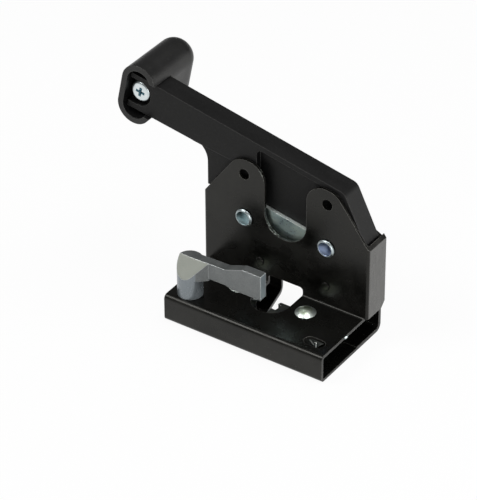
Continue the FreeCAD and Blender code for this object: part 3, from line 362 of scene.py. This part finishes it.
def cast_zinc():
    """Satin grey die casting: soft mottling and corners painted brighter as a painted highlight.

    Its sloping facet is painted paler as painted light, its end face painted lighter and bluish as a painted
    reflection, and its round post smoother.
    """
    metal = Shader("cast_zinc", (0.17, 0.18, 0.18), 0.42, 0.6)
    edge, normal = metal.edges(0.5 * MM)
    mottle = metal.ramp(metal.noise(170.0), 0.32, 0.72)
    base = metal.mix_color(mottle, (0.125, 0.134, 0.135), (0.175, 0.185, 0.182))
    fine = metal.ramp(metal.noise(1500.0, 2.0), 0.4, 0.75, 0.0, 0.35)
    base = metal.mix_color(fine, base, (0.27, 0.28, 0.275))
    sideways, along, upward = metal.facing()
    # Painted light: the sloping facet, facing up and forward, is painted paler.
    painted_facet_light = metal.math("MULTIPLY", metal.ramp(along, -0.25, -0.40, 0.0, 0.9),
                         metal.ramp(upward, 0.15, 0.30))
    base = metal.mix_color(painted_facet_light, base, (0.33, 0.345, 0.305))
    # Painted reflection: the end face, facing sideways, is painted lighter and bluish.
    base = metal.mix_color(metal.ramp(sideways, 0.80, 0.95), base, (0.25, 0.29, 0.31))
    turned = metal.ramp(metal.from_axis(2, metres(SPINDLE)), *metres(POST_EDGE), 1.0, 0.0)
    turned = metal.math("MULTIPLY", turned, metal.ramp(metal.math("ABSOLUTE", upward, 0.0), 0.2, 0.1))
    base = metal.mix_color(turned, base, (0.20, 0.225, 0.24))
    metal.join(metal.ramp(turned, 0.0, 1.0, 0.6, 0.45), metal.bsdf.inputs["Metallic"])
    # Painted highlight: corners are painted much brighter.
    metal.color(metal.mix_color(metal.math("MULTIPLY", edge, 0.9), base, (0.66, 0.69, 0.68)))
    metal.roughness(metal.math("SUBTRACT", metal.ramp(mottle, 0.0, 1.0, 0.34, 0.46),
                               metal.math("MULTIPLY", turned, 0.14)))
    metal.bump(metal.noise(900.0, 4.0), 0.16, 0.00015, normal)
    return metal.material


def dress_nodes():
    """Give every CAD node its material."""
    case = powder_coat()
    lever = moulded("lever_moulding", 0.0050, 0.42, 0.55, 2600.0, 0.20)
    grip = moulded("grip_moulding", 0.0050, 0.36, 0.46, 1900.0, 0.42)
    bright = plated("bright_zinc", (0.72, 0.75, 0.74), 0.20, 0.34, 0.5)
    pale = plated("pale_zinc", (0.76, 0.87, 0.84), 0.26, 0.50, 0.75, 0.55)
    works = plated("works_zinc", (0.20, 0.20, 0.19), 0.34, 0.48, 0.6)
    wire = plated("spring_wire", (0.34, 0.34, 0.33), 0.3, 0.42, 0.3)
    brass = plated("brass", (0.72, 0.55, 0.28), 0.25, 0.4, 0.2)
    looks = {
        "front_case": case, "back_case": case, "lever": lever, "grip": grip, "cam_plate": pale,
        "release_arm": cast_zinc(), "grip_insert": brass,
    }
    for node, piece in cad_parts.items():
        if node in looks:
            material = looks[node]
        elif node.endswith("spring"):
            material = wire
        elif node in ("claw", "pawl", "release_crank"):
            material = works
        else:
            material = bright
        piece.data.materials.clear()
        piece.data.materials.append(material)
    return bright


# Detail pieces
def new_piece(name, mesh, material, body):
    """A mesh that rides on a body and takes its finish from a slot."""
    piece = bpy.data.objects.new(name, mesh)
    bpy.context.scene.collection.objects.link(piece)
    mesh.materials.clear()
    mesh.materials.append(material)
    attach(piece, body)
    return piece


def lathe(name, profile, place, along_y, steps=96):
    """A turned mesh: the profile is (radius, height) in millimetres, from one end to the other."""
    bm = bmesh.new()
    rings = []
    for radius, height in profile:
        if radius < 1e-6:
            rings.append([bm.verts.new((0, 0, height))])
            continue
        rings.append([bm.verts.new((radius * math.cos(2 * math.pi * i / steps),
                                    radius * math.sin(2 * math.pi * i / steps), height))
                      for i in range(steps)])
    for low, high in zip(rings, rings[1:]):
        for i in range(steps):
            j = (i + 1) % steps
            if len(low) == 1:
                bm.faces.new((low[0], high[j], high[i]))
            elif len(high) == 1:
                bm.faces.new((low[i], low[j], high[0]))
            else:
                bm.faces.new((low[i], low[j], high[j], high[i]))
    bmesh.ops.recalc_face_normals(bm, faces=bm.faces)
    turn = Matrix.Rotation(math.radians(-90), 4, "X") if along_y else Matrix.Identity(4)
    bm.transform(Matrix.Translation(place) @ turn @ Matrix.Scale(MM, 4))
    mesh = bpy.data.meshes.new(name)
    bm.to_mesh(mesh)
    bm.free()
    mesh.shade_smooth()
    mesh.set_sharp_from_angle(angle=math.radians(38))
    return mesh


def arc(centre, radius, start, end, steps=7):
    """Points (radius, height) of a rounded corner, angles in degrees."""
    angles = [math.radians(start + (end - start) * i / (steps - 1)) for i in range(steps)]
    return [(centre[0] + radius * math.cos(a), centre[1] + radius * math.sin(a)) for a in angles]


def make_upright_rivets():
    """Rolled-over hollow rivets: a bright rim round a bluish dished middle."""
    for node, (inner, outer) in RIVET_TINTS.items():
        low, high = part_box(node)
        across, up = (low[0] + high[0]) / 2, (low[2] + high[2]) / 2
        head, length = (high[0] - low[0]) / 2 / MM, (high[1] - low[1]) / MM
        rim = arc((4.0, 0.45), 0.45, 180, 300, 9)
        flank = [(head - 0.25, 0.55)] + arc((head - 0.4, 1.0), 0.4, -20, 90, 6)
        foot = length - RIVET_TAIL_RISE
        tail = [(RIVET_SHANK, RIVET_UNDER_HEAD), (RIVET_SHANK, foot), (RIVET_TAIL, foot)]
        tail += arc((RIVET_TAIL - 0.8, length - 0.8), 0.8, 0, 90, 5)
        profile = RIVET_DISH + rim + flank + tail + [(0.0, length)]
        finish = passivated(node + "_zinc", 1, (across, 0.0, up), head * MM, inner, outer,
                            (0.46, 0.52, 0.53), 0.34)
        piece = new_piece(node + "_turned", lathe(node + "_turned", profile, (across, low[1], up), True),
                          finish, "housing")
        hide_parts(node)


def make_pivot_domes():
    """Domed rivet heads on the top plate, passivated olive and white."""
    for node in ("claw_rivet", "pawl_rivet"):
        low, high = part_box(node)
        across, along = (low[0] + high[0]) / 2, (low[1] + high[1]) / 2
        head, top = (high[0] - low[0]) / 2 / MM, (high[2] - low[2]) / MM
        radius = (head * head + DOME_RISE * DOME_RISE) / (2 * DOME_RISE)
        sweep = math.degrees(math.asin(head / radius))
        dome = arc((0.0, top - radius), radius, 90 - sweep, 90, 12)[:-1] + [(0.0, top)]
        under = top - DOME_RISE
        profile = [(0.0, 0.0), (DOME_SHANK, 0.0), (DOME_SHANK, under), (head, under)] + dome
        finish = passivated(node + "_zinc", 2, (across, along, 0.0), head * MM, (0.62, 0.72, 0.54),
                            (0.90, 0.98, 0.88), (0.84, 0.92, 0.86), 0.34, 0.6)
        piece = new_piece(node + "_turned", lathe(node + "_turned", profile, (across, along, low[2]), False),
                          finish, "housing")
        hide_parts(node)


def make_grip_screw():
    """Pan-head screw with a tapered cross recess."""
    low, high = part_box("grip_screw")
    across, up = (low[0] + high[0]) / 2, (low[2] + high[2]) / 2
    length = (high[1] - low[1]) / MM
    profile = [(0.0, 0.0), (3.4, 0.02)] + arc((4.3, 1.7), 1.7, -90, 0, 8) + [
        (PAN_RADIUS, 2.6), (3.0, 2.6), (3.0, length - 1.0), (2.2, length), (0.0, length)]
    mesh = lathe("screw", profile, (across, low[1], up), True)
    body = bpy.data.objects.new("screw_body", mesh)
    bpy.context.scene.collection.objects.link(body)
    bm = bmesh.new()
    for turn in (0, 90):
        made = bmesh.ops.create_cube(bm, size=1.0)["verts"]
        for vert in made:
            deep = vert.co.y > 0
            wide, thick = CROSS_FOOT if deep else CROSS_TOP
            vert.co = Vector((math.copysign(wide, vert.co.x), CROSS_DEPTH if deep else -0.6,
                              math.copysign(thick, vert.co.z)))
        spin = Matrix.Rotation(math.radians(turn + CROSS_TURN), 3, "Y")
        bmesh.ops.rotate(bm, verts=made, cent=(0, 0, 0), matrix=spin)
    bm.transform(Matrix.Translation((across, low[1], up)) @ Matrix.Scale(MM, 4))
    cutter_mesh = bpy.data.meshes.new("cross")
    bm.to_mesh(cutter_mesh)
    bm.free()
    cutter = bpy.data.objects.new("cross_cutter", cutter_mesh)
    bpy.context.scene.collection.objects.link(cutter)
    cut = body.modifiers.new("cross", "BOOLEAN")
    cut.object = cutter
    cut.solver = "EXACT"
    cut.use_self = True
    shape = bpy.data.meshes.new_from_object(body.evaluated_get(bpy.context.evaluated_depsgraph_get()))
    bpy.data.objects.remove(body)
    bpy.data.objects.remove(cutter)
    shape.name = "grip_screw_turned"
    finish = passivated("screw_zinc", 1, (across, 0.0, up), PAN_RADIUS * MM, (0.66, 0.72, 0.73),
                        (0.76, 0.81, 0.82), (0.62, 0.68, 0.69), 0.26)
    piece = new_piece("grip_screw_turned", shape, finish, "lever_body")
    recess = Shader("recess_zinc", (0.12, 0.23, 0.29), 0.35, 0.3)
    recess.color(recess.mix_color(recess.ramp(recess.noise(900.0), 0.35, 0.65), (0.13, 0.27, 0.34),
                                  (0.28, 0.46, 0.52)))
    shape.materials.append(recess.material)
    for face in shape.polygons:
        middle = face.center
        out = math.hypot(middle.x - across, middle.z - up) / MM
        inside = out < CROSS_TOP[0] + 0.05 and 0.05 * MM < middle.y - low[1] < 2.5 * MM
        face.material_index = 1 if inside else 0
    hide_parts("grip_screw")


def make_edge_nib(material):
    """The small bare tab left on the top plate's cut end, where it was parted from its strip."""
    bm = bmesh.new()
    bmesh.ops.create_uvsphere(bm, u_segments=20, v_segments=12, radius=1.0)
    bm.transform(Matrix.Translation(metres(TAB_PLACE)) @ Matrix.Diagonal((*metres(TAB_HALF_SIZES), 1.0)))
    mesh = bpy.data.meshes.new("edge_nib")
    bm.to_mesh(mesh)
    bm.free()
    mesh.shade_smooth()
    new_piece("edge_nib", mesh, material, "housing")


def make_stage():
    """Pale floor that shows white to the camera and keeps a soft shadow."""
    floor_shader = Shader("white_floor", (0.86, 0.86, 0.86), 0.9)
    tree = floor_shader.tree
    path = floor_shader.add("ShaderNodeLightPath")
    seen = floor_shader.math("ADD", path.outputs["Is Camera Ray"], path.outputs["Is Glossy Ray"])
    seen = floor_shader.math("ADD", seen, path.outputs["Is Transmission Ray"])
    share = floor_shader.math("MULTIPLY", seen, FLOOR_WHITE)
    glow = floor_shader.add("ShaderNodeEmission")
    glow.inputs["Strength"].default_value = 1.0
    blend = floor_shader.add("ShaderNodeMixShader")
    floor_shader.join(share, blend.inputs[0])
    floor_shader.join(floor_shader.bsdf.outputs[0], blend.inputs[1])
    floor_shader.join(glow.outputs[0], blend.inputs[2])
    floor_shader.join(blend.outputs[0], tree.nodes["Material Output"].inputs["Surface"])
    mesh = bpy.data.meshes.new("floor")
    bm = bmesh.new()
    bmesh.ops.create_grid(bm, x_segments=1, y_segments=1, size=FLOOR_HALF,
                          matrix=Matrix.Translation((0, 0, cad_low.z - FLOOR_GAP)))
    bm.to_mesh(mesh)
    bm.free()
    floor = bpy.data.objects.new("floor", mesh)
    bpy.context.scene.collection.objects.link(floor)
    mesh.materials.append(floor_shader.material)


def make_world():
    """An even white surround."""
    world = bpy.data.worlds.new("studio")
    bpy.context.scene.world = world
    world.use_nodes = True
    background = world.node_tree.nodes["Background"]
    background.inputs["Color"].default_value = (1, 1, 1, 1)
    background.inputs["Strength"].default_value = WORLD_LIGHT


def make_lamps():
    """Soft area lamps aimed at the object's middle."""
    for name, place, size, power in LAMPS:
        light = bpy.data.lights.new(name, "AREA")
        light.shape = "RECTANGLE"
        light.size, light.size_y = size
        light.energy = power
        lamp = bpy.data.objects.new(name, light)
        bpy.context.scene.collection.objects.link(lamp)
        lamp.location = place
        lamp.rotation_euler = (CAMERA_TARGET - Vector(place)).to_track_quat("-Z", "Y").to_euler()


def make_camera():
    """The photograph's view, from its angles and its focal length in pixels."""
    azimuth, elevation = math.radians(CAMERA_AZIMUTH), math.radians(CAMERA_ELEVATION)
    back = Vector((math.sin(azimuth) * math.cos(elevation),
                   -math.cos(azimuth) * math.cos(elevation), math.sin(elevation)))
    data = bpy.data.cameras.new("camera")
    data.sensor_width = SENSOR
    data.lens = FOCAL_PIXELS * SENSOR / IMAGE_HEIGHT
    data.clip_end = CLIP_END
    camera = bpy.data.objects.new("camera", data)
    bpy.context.scene.collection.objects.link(camera)
    turn = back.to_track_quat("Z", "Y") @ Matrix.Rotation(math.radians(CAMERA_ROLL), 3, "Z").to_quaternion()
    camera.rotation_euler = turn.to_euler()
    camera.location = CAMERA_TARGET + back * CAMERA_DISTANCE
    bpy.context.scene.camera = camera


bright_zinc = dress_nodes()
make_upright_rivets()
make_pivot_domes()
make_grip_screw()
make_edge_nib(bright_zinc)
make_stage()
make_world()
make_lamps()
make_camera()
bpy.context.scene.view_settings.view_transform = "Standard"
